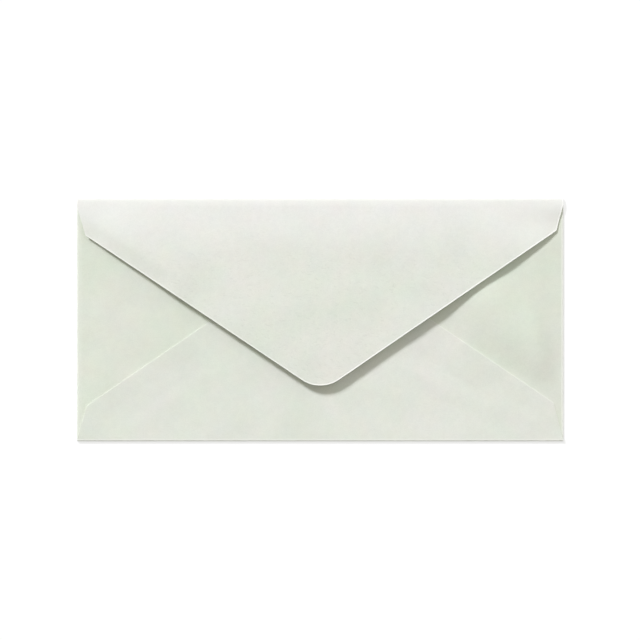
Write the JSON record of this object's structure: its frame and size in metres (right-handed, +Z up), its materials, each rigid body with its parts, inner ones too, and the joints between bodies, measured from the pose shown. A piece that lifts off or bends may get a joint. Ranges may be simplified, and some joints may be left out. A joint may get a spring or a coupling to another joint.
{
  "type": "paper envelope",
  "caption": "Long pocket envelope folded from one sheet of pearl paper, with glued diagonal seams and a deep pointed flap that stands open a little.",
  "frame": {"origin": "under the middle of the front panel, on the surface that the envelope lies on", "axes": "+Z up out of the flap side, +Y towards the top fold that carries the closing flap, +X to the right as seen from above"},
  "size_m": [0.22, 0.11, 0.005],
  "materials": {
    "pearl_paper": "satin"
  },
  "bodies": {
    "root": {"envelope": "pearl_paper"}
  },
  "joints": []
}
